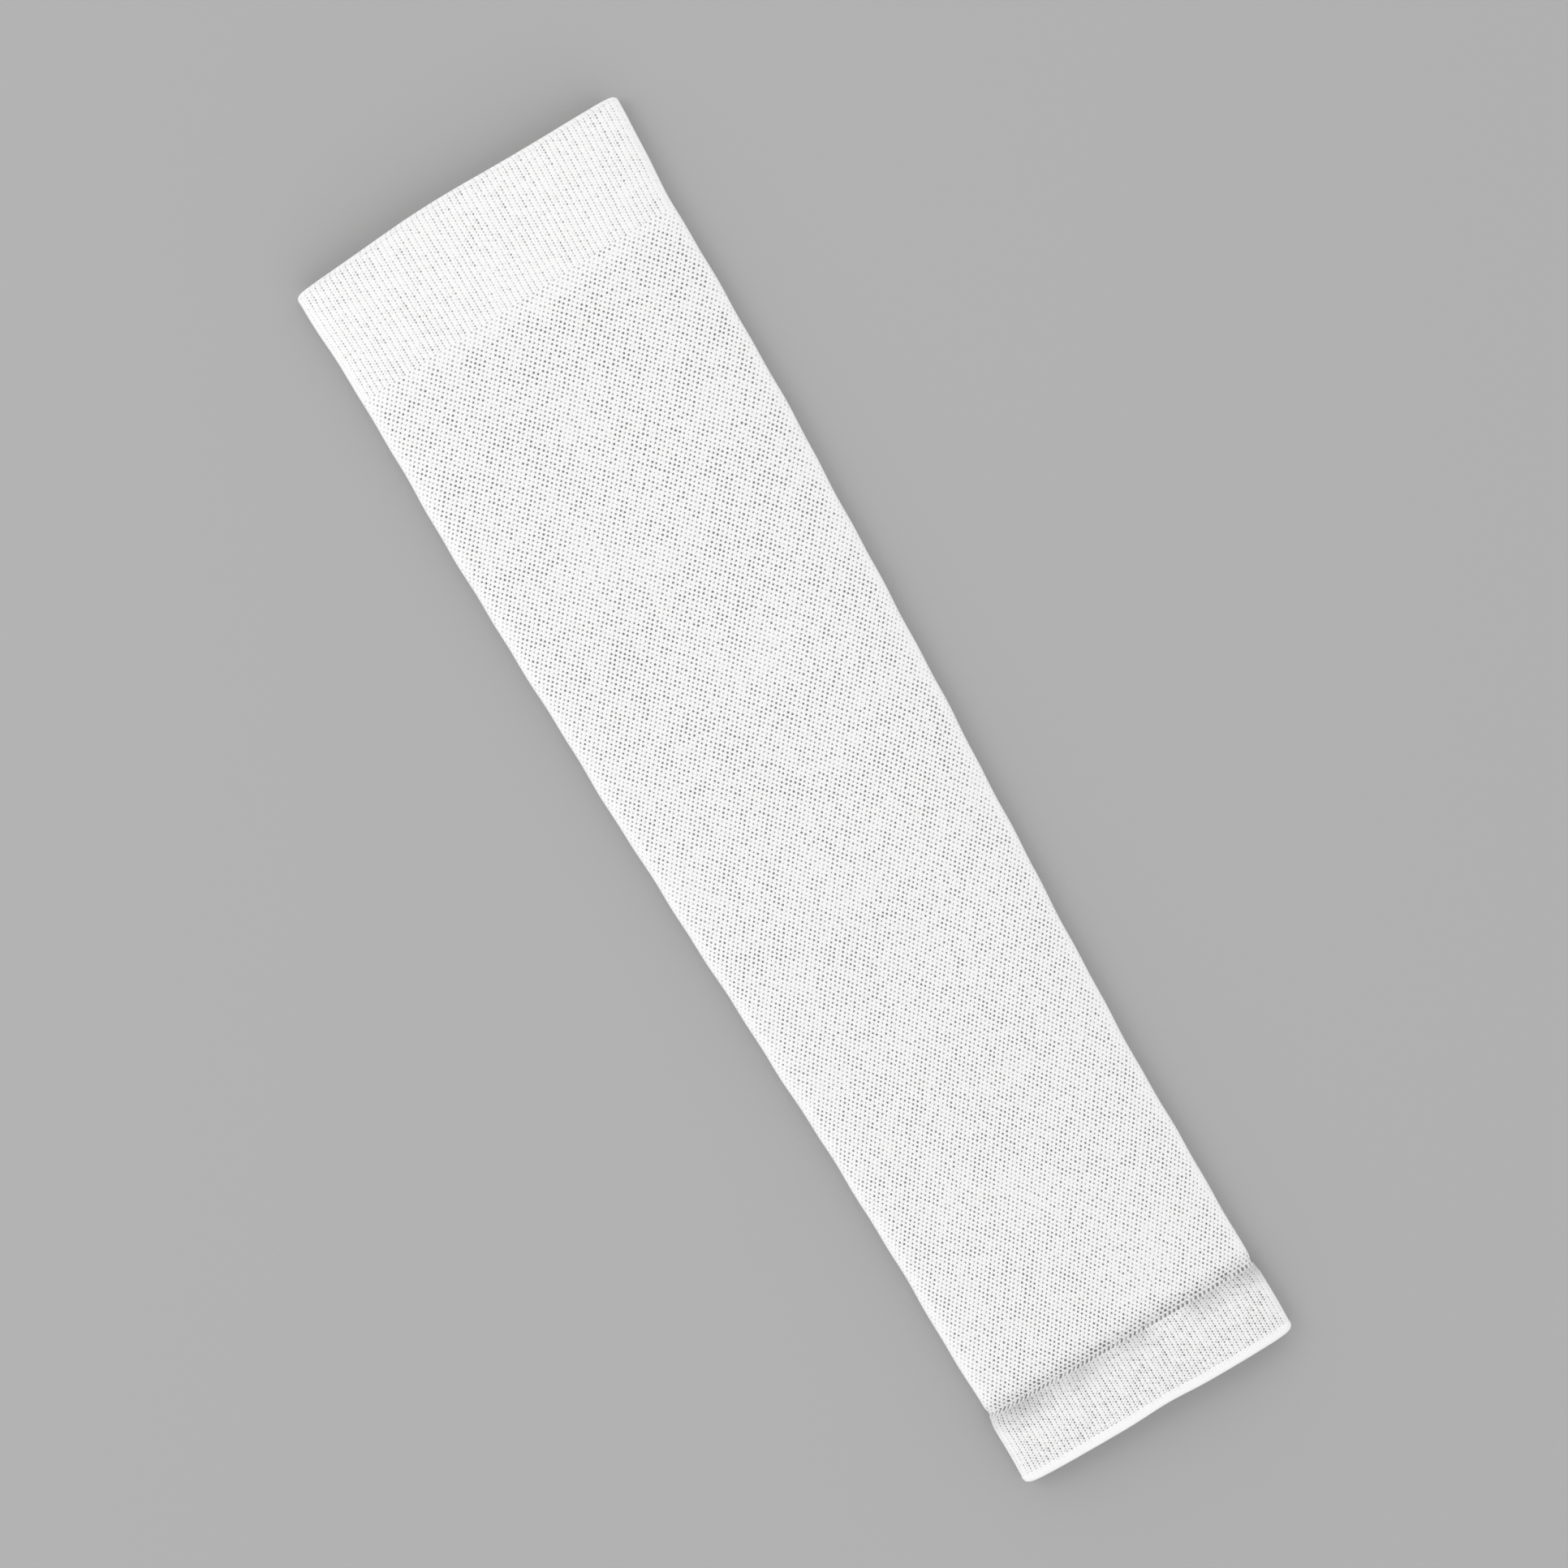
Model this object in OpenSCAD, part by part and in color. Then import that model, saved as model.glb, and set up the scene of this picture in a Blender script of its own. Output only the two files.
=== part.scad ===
// Knitted arm sleeve: a tapered tube of mesh knit with a ribbed cuff at each end, lying flat.
// Millimetres, +Z up. It lies on z = 0 with its length along Y and its upper-arm end at +Y.
// The origin is on the ground under the middle of the whole sleeve.
// In the code, s is the distance along the sleeve from its upper edge towards the wrist.

/* [Sleeve] */
// Length from the upper edge to the wrist edge
sleeve_length = 400; // [330:5:480]
// Flat width at the upper edge
upper_width = 108.4; // [88:0.2:132]
// Flat width of the mesh tube next to the upper cuff
tube_upper_width = 105.6; // [86:0.2:130]
// Flat width of the mesh tube at the wrist seam
tube_wrist_width = 87.6; // [72:0.2:108]
// Height of the flattened tube as it lies
loft = 9; // [8:0.1:13]
// Radius of the fold along each side of the underside
side_fold = 3; // [2.8:0.1:3.6]

/* [Cloth] */
// Thickness of the mesh knit
mesh_cloth = 0.9; // [0.7:0.05:1.2]
// Thickness of the rib knit of the upper cuff
rib_cloth = 1.1; // [0.8:0.05:1.4]
// Thickness of each of the two layers of the wrist cuff
cuff_layer = 0.75; // [0.6:0.05:0.9]
// Radius of the four corners of the flat sleeve
corner_radius = 2; // [1:0.1:4]

/* [Upper cuff] */
// Depth of the upper rib cuff, with its edge
upper_cuff_depth = 35; // [25:1:50]
// Depth of the plain bound edge
upper_edge_depth = 1.6; // [1.2:0.1:3]
// Distance between the laid-in elastic yarns
upper_yarn_pitch = 3.6; // [2.4:0.2:6]

/* [Wrist cuff] */
// Depth of the wrist cuff, with its welt
wrist_cuff_depth = 21.5; // [16:0.5:34]
// Flat width of the wrist cuff
wrist_cuff_width = 88.7; // [73:0.1:110]
// Depth of the plain turned welt
welt_depth = 3; // [2.4:0.1:5]
// Distance between the laid-in elastic yarns
wrist_yarn_pitch = 3; // [2.2:0.2:5]

/* [Elastic yarn and seam] */
// Thickness of an elastic yarn
yarn_thickness = 0.4; // [0.3:0.05:0.45]
// Width of a laid-in elastic yarn
yarn_width = 0.8; // [0.5:0.1:1.2]
// Width of the linking seam along the sleeve
seam_width = 0.8; // [0.6:0.1:1.2]
// How far the seam lies below the surface of the mesh knit
seam_recess = 0.25; // [0.1:0.05:0.35]

/* [Elbow and gaps] */
// Distance from the upper edge to the line where the elbow bends the sleeve
elbow_from_upper = 160; // [130:1:200]
// Gap between pieces that move apart
move_gap = 0.3; // [0.2:0.05:0.5]

/* [Taper] */
// Length of straight mesh tube below the upper cuff
straight_upper = 25; // [5:1:60]
// Length of straight mesh tube above the wrist seam
straight_wrist = 43.5; // [5:0.5:60]
// How late the taper comes: 1 is even, more brings it nearer the wrist
taper_delay = 1.2; // [1:0.05:1.6]

/* [Hidden] */

// Squareness of the arched top of the section: 2 is an ellipse, more is boxier
arch_power = 3;
arch_steps = 24;
fold_steps = 4;
ring_points = arch_steps + 1 + 2 * fold_steps;
// Distance between the rings of a long tube, and of a cuff
tube_step = 18;
cuff_step = 6;
// Clearance of an elastic yarn from the cloth that holds it
yarn_clearance = 0.1;
// How full the rounded rims are: 1 would close them to a sharp edge
rim_roundness = 0.9;

// Room between the two layers of the wrist cuff, with an elastic yarn in it
layer_gap = yarn_thickness + 2 * yarn_clearance;
cuff_wall = 2 * cuff_layer + layer_gap;
seam_start = sleeve_length - wrist_cuff_depth - seam_width;
cuff_start = sleeve_length - wrist_cuff_depth;
welt_start = sleeve_length - welt_depth;
tube_start = upper_cuff_depth + move_gap;
taper_start = upper_cuff_depth + straight_upper;
taper_end = seam_start - straight_wrist;

white = "#f2f2f0";
rib_white = "#ebebe9";
thread_grey = "#c9c9c9";
yarn_cream = "#e6e2d6";

// ---- The sleeve's outline ----

function smooth(t) = let (u = min(max(t, 0), 1)) u * u * (3 - 2 * u);
function mix(a, b, t) = a + (b - a) * t;
function along(s) = sleeve_length / 2 - s;

// How far a rounded corner of radius r draws the side in, at distance d from the edge
function corner(d, r) = d < r ? r - sqrt(r * r - (r - d) * (r - d)) : 0;

function upper_cuff_half(s) =
    mix(upper_width, tube_upper_width, smooth(s / upper_cuff_depth)) / 2 - corner(s, corner_radius);

function tube_half(s) =
    let (u = min(max((s - taper_start) / (taper_end - taper_start), 0), 1))
    mix(tube_upper_width, tube_wrist_width, smooth(pow(u, taper_delay))) / 2;

function wrist_cuff_half(s) = wrist_cuff_width / 2 - corner(sleeve_length - s, corner_radius);

function half_width(s) =
    s < upper_cuff_depth ? upper_cuff_half(s) : s < cuff_start ? tube_half(s) : wrist_cuff_half(s);

// ---- The flattened section ----
// Flat below, with a round fold along each side and an arched top; inset is measured
// inwards from the outside of the cloth. Points are [x, z].

function section(half, inset) =
    let (
        a = half - inset,
        r = side_fold - inset,
        b = loft - inset - side_fold
    )
    concat(
        [for (k = [0 : arch_steps])
            let (p = 180 * k / arch_steps)
            [
                a * sign(cos(p)) * pow(abs(cos(p)), 2 / arch_power),
                side_fold + b * pow(abs(sin(p)), 2 / arch_power)
            ]],
        [for (k = [1 : fold_steps])
            let (p = 180 + 90 * k / fold_steps)
            [r - a + r * cos(p), side_fold + r * sin(p)]],
        [for (k = [0 : fold_steps - 1])
            let (p = 270 + 90 * k / fold_steps)
            [a - r + r * cos(p), side_fold + r * sin(p)]]
    );

function ring(s, inset) = [for (p = section(half_width(s), inset)) [p.x, along(s), p.y]];

// ---- Shells and bands ----

// Distances from a to b with a step of about the given size
function steps(a, b, step) = let (n = ceil((b - a) / step)) [for (k = [0 : n]) mix(a, b, k / n)];

// A tube wall through stations of [s, outer inset, inner inset]
module shell(stations) {
    n = ring_points;
    m = len(stations);
    outer = [for (st = stations) each ring(st[0], st[1])];
    inner = [for (st = stations) each ring(st[0], st[2])];
    // Corner k of ring j, on the outer (side 0) or the inner (side 1) surface
    function at(side, j, k) = (side * m + j) * n + k % n;
    function quad(a, b, c, d) = [[a, b, c], [a, c, d]];
    outside = [for (j = [0 : m - 2], k = [0 : n - 1])
        each quad(at(0, j, k), at(0, j, k + 1), at(0, j + 1, k + 1), at(0, j + 1, k))];
    inside = [for (j = [0 : m - 2], k = [0 : n - 1])
        each quad(at(1, j, k), at(1, j + 1, k), at(1, j + 1, k + 1), at(1, j, k + 1))];
    first_rim = [for (k = [0 : n - 1])
        each quad(at(0, 0, k), at(1, 0, k), at(1, 0, k + 1), at(0, 0, k + 1))];
    last_rim = [for (k = [0 : n - 1])
        each quad(at(0, m - 1, k), at(0, m - 1, k + 1), at(1, m - 1, k + 1), at(1, m - 1, k))];
    polyhedron(concat(outer, inner), concat(outside, inside, first_rim, last_rim), 10);
}

// A plain length of tube wall
module tube(from, to, outer_inset, thickness, step) {
    shell([for (s = steps(from, to, step)) [s, outer_inset, outer_inset + thickness]]);
}

// How far a rounded rim of a wall is drawn in, at distance d from the rim
function rim_inset(d, wall) =
    let (r = wall / 2, t = max(r - d, 0) / r)
    r * (1 - sqrt(1 - rim_roundness * t * t));

// A band whose far edge is rounded; dir is 1 if the rim is at the wrist end, else -1
module rimmed_band(edge, depth, wall, dir) {
    offsets = [depth, wall, wall / 2, wall / 4, wall / 10, 0];
    stations = [for (d = offsets) [edge - dir * d, rim_inset(d, wall), wall - rim_inset(d, wall)]];
    shell(dir > 0 ? stations : [for (i = [len(stations) - 1 : -1 : 0]) stations[i]]);
}

// A flat band that runs round the sleeve from s, and narrows with it
module ring_band(s, inset, thickness, width) {
    tube(s, s + width, inset, thickness, width);
}

// Elastic yarn rings at a steady pitch, centred between two places
module yarn_rings(from, to, pitch, inset) {
    count = floor((to - from - yarn_width) / pitch) + 1;
    first = (from + to - yarn_width - (count - 1) * pitch) / 2;
    for (i = [0 : count - 1])
        ring_band(first + i * pitch, inset, yarn_thickness, yarn_width);
}

// ---- Pieces ----

module upper_edge() {
    color(white) rimmed_band(0, upper_edge_depth, rib_cloth, -1);
}

module upper_cuff() {
    color(rib_white) tube(upper_edge_depth, upper_cuff_depth, 0, rib_cloth, cuff_step);
}

module upper_cuff_elastic() {
    color(yarn_cream)
        yarn_rings(upper_edge_depth, upper_cuff_depth, upper_yarn_pitch, rib_cloth + yarn_clearance);
}

module upper_arm_tube() {
    color(white) tube(tube_start, elbow_from_upper - move_gap / 2, 0, mesh_cloth, tube_step);
}

module forearm_tube() {
    color(white) tube(elbow_from_upper + move_gap / 2, seam_start, 0, mesh_cloth, tube_step);
}

// The thread ring that links the mesh tube to the cuff, down in the crease between them
module linking_seam() {
    color(thread_grey)
        ring_band(seam_start, seam_recess, mesh_cloth - seam_recess, seam_width - move_gap);
}

module wrist_cuff() {
    color(rib_white) tube(cuff_start, welt_start, 0, cuff_layer, cuff_step);
}

module wrist_cuff_lining() {
    color(rib_white) tube(cuff_start, welt_start, cuff_layer + layer_gap, cuff_layer, cuff_step);
}

module wrist_cuff_elastic() {
    color(yarn_cream)
        yarn_rings(cuff_start, welt_start, wrist_yarn_pitch, cuff_layer + yarn_clearance);
}

module wrist_welt() {
    color(white) rimmed_band(sleeve_length, welt_depth, cuff_wall, 1);
}

upper_edge();
upper_cuff();
upper_cuff_elastic();
upper_arm_tube();
forearm_tube();
linking_seam();
wrist_cuff();
wrist_cuff_lining();
wrist_cuff_elastic();
wrist_welt();
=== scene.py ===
# %% [markdown]
# # A knitted arm sleeve
#
# The object is a tube of white knit that is worn on the arm, lying flat on a table. It has a ribbed
# cuff and a rolled edge at the wide end, a long body of mesh knit full of small holes, and at the
# narrow end a doubled rib cuff with a plain turned welt. Everything about it is cloth, so this
# lesson is about one thing: how to make cloth look knitted, stitch by stitch, in shape and in finish.
#
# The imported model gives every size. It is loaded first, and nothing in it is ever moved.

# %% Load the frame
import math

import bpy
import numpy as np
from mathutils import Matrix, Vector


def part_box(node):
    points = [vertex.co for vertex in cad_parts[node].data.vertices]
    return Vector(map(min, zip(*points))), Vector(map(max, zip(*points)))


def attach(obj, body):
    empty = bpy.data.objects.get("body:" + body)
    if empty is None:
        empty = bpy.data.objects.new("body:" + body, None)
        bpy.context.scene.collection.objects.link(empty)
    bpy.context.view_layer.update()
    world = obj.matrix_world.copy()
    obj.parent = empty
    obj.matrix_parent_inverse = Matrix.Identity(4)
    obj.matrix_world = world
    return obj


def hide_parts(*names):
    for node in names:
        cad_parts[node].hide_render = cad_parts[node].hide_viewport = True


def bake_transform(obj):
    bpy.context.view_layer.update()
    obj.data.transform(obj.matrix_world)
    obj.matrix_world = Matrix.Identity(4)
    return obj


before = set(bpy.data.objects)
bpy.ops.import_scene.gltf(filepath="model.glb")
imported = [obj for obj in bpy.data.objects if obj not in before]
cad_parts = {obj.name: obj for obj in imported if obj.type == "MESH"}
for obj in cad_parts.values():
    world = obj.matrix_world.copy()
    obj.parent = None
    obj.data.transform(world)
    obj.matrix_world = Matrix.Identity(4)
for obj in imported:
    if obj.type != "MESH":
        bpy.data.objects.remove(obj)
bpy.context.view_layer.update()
MM = 0.001

# %% [markdown]
# ## The camera
#
# The sleeve is looked at from straight above, lying at a slant. A long lens keeps the sides from
# leaning outwards. The lens and the width that it should see fix how high the camera has to be, so
# that height is worked out and not guessed.

# %% Camera
LENS = 100.0
SENSOR = 36.0
VIEW_WIDTH = 449.4 * MM
VIEW_TURN = math.radians(-30.28)
VIEW_CENTRE = (-3.2 * MM, 7.9 * MM)
SIDE_HEIGHT = 3 * MM

camera = bpy.data.objects.new("camera", bpy.data.cameras.new("camera"))
camera.data.lens = LENS
camera.data.sensor_width = SENSOR
camera_height = VIEW_WIDTH * LENS / SENSOR + SIDE_HEIGHT
camera.location = (*VIEW_CENTRE, camera_height)
camera.rotation_euler = (0, 0, VIEW_TURN)
bpy.context.scene.collection.objects.link(camera)
bpy.context.scene.camera = camera
bpy.context.scene.view_settings.view_transform = "Standard"
print("camera height in m:", round(camera_height, 3))

# %% [markdown]
# ## Arithmetic on shader sockets
#
# The knit patterns below are formulas: how far is this point from the middle of its hole? In the
# shader editor each plus and times is a Math node. A small class lets a formula be written as a
# formula, and adds those nodes behind the scenes.


# %% A socket that takes part in sums
class Wire:
    """One output socket of a shader tree. Arithmetic on it adds Math nodes."""

    def __init__(self, tree, socket):
        self.tree = tree
        self.socket = socket

    def math(self, operation, *others):
        node = self.tree.nodes.new("ShaderNodeMath")
        node.operation = operation
        for place, value in enumerate((self, *others)):
            feed(self.tree, node.inputs[place], value)
        return Wire(self.tree, node.outputs[0])

    def __add__(self, other):
        return self.math("ADD", other)

    def __sub__(self, other):
        return self.math("SUBTRACT", other)

    def __mul__(self, other):
        return self.math("MULTIPLY", other)

    def __truediv__(self, other):
        return self.math("DIVIDE", other)

    def rounded(self):
        return self.math("ROUND")

    def modulo(self, other):
        return self.math("MODULO", other)

    def size(self):
        return self.math("ABSOLUTE")

    def most(self, other):
        return self.math("MAXIMUM", other)

    def fade(self, at_nought, at_one):
        """0 at one value and 1 at another, with a soft start and end."""
        node = self.tree.nodes.new("ShaderNodeMapRange")
        node.interpolation_type = "SMOOTHSTEP"
        feed(self.tree, node.inputs["Value"], self)
        # A smooth step needs its limits in rising order, so a falling one is turned round
        low, high = sorted((at_nought, at_one))
        node.inputs["From Min"].default_value = low
        node.inputs["From Max"].default_value = high
        node.inputs["To Min"].default_value = float(at_nought > at_one)
        node.inputs["To Max"].default_value = float(at_nought < at_one)
        return Wire(self.tree, node.outputs["Result"])


def feed(tree, socket, value):
    """Links a wire to a socket, or sets a plain number on it."""
    if isinstance(value, Wire):
        tree.links.new(value.socket, socket)
    else:
        socket.default_value = value


def add_node(tree, kind, **values):
    """A node with its inputs set or linked by name; underscores stand for spaces."""
    node = tree.nodes.new("ShaderNode" + kind)
    for name, value in values.items():
        feed(tree, node.inputs[name.replace("_", " ")], value)
    return node


def ellipse(across, down, half_width, half_height):
    """The distance from an ellipse's middle: 1 on its outline."""
    return ((across / half_width).math("POWER", 2.0) + (down / half_height).math("POWER", 2.0)).math("SQRT")


def new_group(name, inputs, outputs):
    """An empty shader node group with named inputs and outputs, and its input wires."""
    group = bpy.data.node_groups.new(name, "ShaderNodeTree")
    for label, kind, value in inputs:
        socket = group.interface.new_socket(label, in_out="INPUT", socket_type="NodeSocket" + kind)
        socket.default_value = value
    for label, kind in outputs:
        group.interface.new_socket(label, in_out="OUTPUT", socket_type="NodeSocket" + kind)
    entry = group.nodes.new("NodeGroupInput")
    group.nodes.new("NodeGroupOutput").name = "exit"
    return group, {label: Wire(group, entry.outputs[label]) for label, _, _ in inputs}


def put_out(group, **wires):
    """Links wires to the group's outputs by name."""
    for label, wire in wires.items():
        feed(group, group.nodes["exit"].inputs[label], wire)


print("shader arithmetic is ready")

# %% [markdown]
# ## One hole in the knit
#
# A knitted hole shows as a soft dark dot of painted shade where the loops part. All holes sit on a
# grid that is counted in knit units: the wale says which column of loops a point is in, and the
# course says which row. The group rounds both to find the nearest hole, and measures the distance to
# its middle. A random number from each hole's own column and row makes it a little larger or smaller
# and shifts it, because no two loops of real yarn are alike. With a stagger of a half, every second
# row is shifted by half a column, as in the mesh. The column number is wrapped round the tube, so
# that the pattern meets itself.

# %% Group: knit hole
WALES = 126

hole_group, given = new_group(
    "Knit hole",
    [
        ("Wale", "Float", 0.0),
        ("Course", "Float", 0.0),
        ("Stagger", "Float", 0.0),
        ("Width", "Float", 0.2),
        ("Height", "Float", 0.3),
        ("Jitter", "Float", 0.1),
        ("Unevenness", "Float", 0.5),
    ],
    [("Hole", "Float"), ("Across", "Float"), ("Down", "Float"), ("Chance", "Float"), ("Luck", "Float")],
)
course = given["Course"].rounded()
shift = (course.modulo(2.0)).size() * given["Stagger"]
wale = (given["Wale"] - shift).rounded()
place = add_node(hole_group, "CombineXYZ", X=wale.modulo(float(WALES)), Y=course, Z=shift)
noise = add_node(hole_group, "TexWhiteNoise", Vector=Wire(hole_group, place.outputs[0]))
parts = add_node(hole_group, "SeparateColor", Color=Wire(hole_group, noise.outputs["Color"]))
chance, luck, fortune = (Wire(hole_group, parts.outputs[k]) for k in range(3))
across = given["Wale"] - shift - wale - (chance - 0.5) * given["Jitter"]
down = given["Course"] - course - (luck - 0.5) * given["Jitter"]
growth = (fortune - 0.5) * given["Unevenness"] + 1.0
distance = ellipse(across, down, given["Width"], given["Height"]) / growth
put_out(
    hole_group, Hole=distance.fade(1.35, 0.45), Across=across, Down=down, Chance=chance, Luck=fortune
)
print("knit hole group:", len(hole_group.nodes), "nodes")

# %% [markdown]
# ## Where the cloth is open and where it is tight
#
# No machine knits evenly. Over a few centimetres the loops are a little slacker or tighter, so the
# holes show more or less, and single columns run darker for a while. Two noise textures give that:
# a broad one in both directions, and one that is stretched along the columns.

# %% Group: knit tension
BROAD_PATCH = 22.0
SPOT_PATCH = 5.0
RIB_RUN = 18.0

tension_group, given = new_group(
    "Knit tension",
    [("Wale", "Float", 0.0), ("Course", "Float", 0.0), ("Broad", "Float", 0.3), ("Columns", "Float", 0.3)],
    [("Openness", "Float")],
)


def slow_noise(across_period, along_period, detail):
    """Noise with its own size across and along the sleeve, about 0 on average."""
    spot = add_node(
        tension_group, "CombineXYZ",
        X=given["Wale"] / across_period, Y=given["Course"] / along_period,
    )
    cloud = add_node(
        tension_group, "TexNoise",
        Vector=Wire(tension_group, spot.outputs[0]), Scale=1.0, Detail=detail, Roughness=0.55,
    )
    return Wire(tension_group, cloud.outputs[0]) - 0.5


broad = slow_noise(BROAD_PATCH, BROAD_PATCH, 3.0) + slow_noise(SPOT_PATCH, SPOT_PATCH, 1.0) * 0.5
columns = slow_noise(0.9, RIB_RUN, 1.0)
openness = broad * given["Broad"] * 2.0 + columns * given["Columns"] * 2.0 + 1.0
put_out(tension_group, Openness=openness.most(0.0))
print("knit tension group:", len(tension_group.nodes), "nodes")

# %% [markdown]
# ## Yarn in close-up
#
# From near by, each loop shows as two slanted legs in a V, and the yarn is hairy. The group gives a
# height for a Bump node: ridges for the legs, which lean one way on the left of a needle column and
# the other way on its right, and a fine noise for the hairs. Each wale here is two needles wide.

# %% Group: yarn loops
LEG_LEAN = 0.9
LOOPS_PER_WALE = 2.0
HAIR_SCALE = 9.0

loop_group, given = new_group(
    "Yarn loops",
    [("Wale", "Float", 0.0), ("Course", "Float", 0.0), ("Hairs", "Float", 0.3)],
    [("Height", "Float")],
)
needle = given["Wale"] * LOOPS_PER_WALE
from_middle = (needle - needle.rounded()).size()
leaning = given["Course"] * LOOPS_PER_WALE - from_middle * (2.0 * LEG_LEAN)
leg = (leaning - leaning.rounded()).size().fade(0.5, 0.0)
gutter = from_middle.fade(0.5, 0.3)
spot = add_node(loop_group, "CombineXYZ", X=given["Wale"], Y=given["Course"])
hairs = add_node(
    loop_group, "TexNoise",
    Vector=Wire(loop_group, spot.outputs[0]), Scale=HAIR_SCALE, Detail=4.0, Roughness=0.7,
)
put_out(loop_group, Height=leg * gutter + Wire(loop_group, hairs.outputs[0]) * given["Hairs"])
print("yarn loops group:", len(loop_group.nodes), "nodes")

# %% [markdown]
# ## What all the knits share
#
# Every cloth here is the same white yarn, so one function makes each material: a rough Principled
# BSDF with a little sheen, white where there is yarn, with painted shade where a hole or a gap shows.
# Two numbers stored on the mesh help it. "openness" closes the holes where the cloth turns over at
# the sides, and "grey" paints shade on the cloth where it dives into a crease and in the seam's gaps.
# What differs between the cloths is only the pattern of painted hole shade, which comes in as a function.

# %% Start of every knit material
YARN_WHITE = (0.93, 0.93, 0.928, 1.0)
# Painted shade colour for the holes and gaps
HOLE_SHADE_COLOUR = (0.20, 0.20, 0.203, 1.0)
# Painted shade colour for creases and seam gaps
CREASE_SHADE_COLOUR = (0.50, 0.50, 0.505, 1.0)


def in_group(tree, group, **inputs):
    """Places a node group in a material and gives its outputs as wires."""
    node = tree.nodes.new("ShaderNodeGroup")
    node.node_tree = group
    for name, value in inputs.items():
        feed(tree, node.inputs[name], value)
    return {output.name: Wire(tree, output) for output in node.outputs}


def mesh_value(tree, name):
    """A number stored on the mesh, point by point."""
    node = tree.nodes.new("ShaderNodeAttribute")
    node.attribute_name = name
    return Wire(tree, node.outputs["Fac"])


def mixed(tree, share, first, second):
    """A colour between two others; each is a wire or a plain colour."""
    node = tree.nodes.new("ShaderNodeMix")
    node.data_type = "RGBA"
    feed(tree, node.inputs["Factor"], share)
    feed(tree, node.inputs[6], first)
    feed(tree, node.inputs[7], second)
    return Wire(tree, node.outputs[2])


def knit_material(name, pattern, depth, yarn=YARN_WHITE, roughness=0.85):
    """A knit finish. pattern(tree, wale, course) gives how much shade is painted in the holes, from 0 to 1."""
    material = bpy.data.materials.new(name)
    material.use_nodes = True
    tree = material.node_tree
    shader = tree.nodes["Principled BSDF"]
    shader.inputs["Roughness"].default_value = roughness
    shader.inputs["Sheen Weight"].default_value = 0.15
    shader.inputs["Sheen Roughness"].default_value = 0.5
    shader.inputs["Specular IOR Level"].default_value = 0.2
    counts = tree.nodes.new("ShaderNodeUVMap")
    counts.uv_map = "Knit"
    split = add_node(tree, "SeparateXYZ", Vector=Wire(tree, counts.outputs["UV"]))
    wale, course = Wire(tree, split.outputs["X"]), Wire(tree, split.outputs["Y"])
    # Painted shade: the pattern darkens holes and gaps, and "grey" darkens creases and seam gaps
    holes = pattern(tree, wale, course) * mesh_value(tree, "openness")
    loops = in_group(tree, loop_group, Wale=wale, Course=course)
    cloth = mixed(tree, mesh_value(tree, "grey"), yarn, CREASE_SHADE_COLOUR)
    feed(tree, shader.inputs["Base Color"], mixed(tree, holes, cloth, HOLE_SHADE_COLOUR))
    bump = add_node(
        tree, "Bump", Height=loops["Height"] * 0.25 - holes, Strength=0.6, Distance=depth
    )
    feed(tree, shader.inputs["Normal"], Wire(tree, bump.outputs["Normal"]))
    return material


print("yarn white:", YARN_WHITE[:3], "painted hole shade:", HOLE_SHADE_COLOUR[:3])

# %% [markdown]
# ## The mesh knit
#
# In the body, a loop is tucked at every second needle and the next row is tucked in between, so the
# holes are staggered. Each is a short dot of painted shade, with a fainter painted hook of shade to
# its left where the tucked loop is drawn up, and a thin slanting line of painted shade leads from it
# to the next row's hole. Near the wrist crease the rows are squeezed, so the dots there grow wider.

# %% Material: mesh knit
WALE_PITCH = 1.65
ROW_PITCH = 1.01
HOOK_PLACE = (-0.30, 0.14)
HOOK_SIZE = (0.36, 0.15)
HOOK_TILT = math.radians(22)


def mesh_pattern(tree, wale, course):
    squeezed = mesh_value(tree, "grey") * 1.8 + 1.0
    hole = in_group(
        tree, hole_group, Wale=wale, Course=course, Stagger=0.5,
        Width=squeezed * 0.165, Height=0.27, Jitter=0.12, Unevenness=0.6,
    )
    tension = in_group(tree, tension_group, Wale=wale, Course=course, Broad=0.5, Columns=0.2)
    right = hole["Across"] * WALE_PITCH - HOOK_PLACE[0]
    below = hole["Down"] * ROW_PITCH - HOOK_PLACE[1]
    along_hook = below * math.sin(HOOK_TILT) - right * math.cos(HOOK_TILT)
    off_hook = right * math.sin(HOOK_TILT) + below * math.cos(HOOK_TILT)
    hook = ellipse(along_hook, off_hook, *HOOK_SIZE).fade(1.3, 0.4)
    # The slanting lines run where the wale less half the course is a whole number
    slant = wale - course * 0.5
    line = (slant - slant.rounded()).size().fade(0.2, 0.0)
    # Painted shade: the hole's dot, its hook and the slanting line
    shade = hole["Hole"] * (hole["Luck"] * 0.4 + 0.8)
    shade = shade.most(hook * (hole["Chance"] * 0.45 + 0.05)).most(line * 0.03)
    return shade * tension["Openness"]


mesh_knit = knit_material("mesh knit", mesh_pattern, 0.15 * MM)
print(mesh_knit.name, "has", len(mesh_knit.node_tree.nodes), "nodes")
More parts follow.
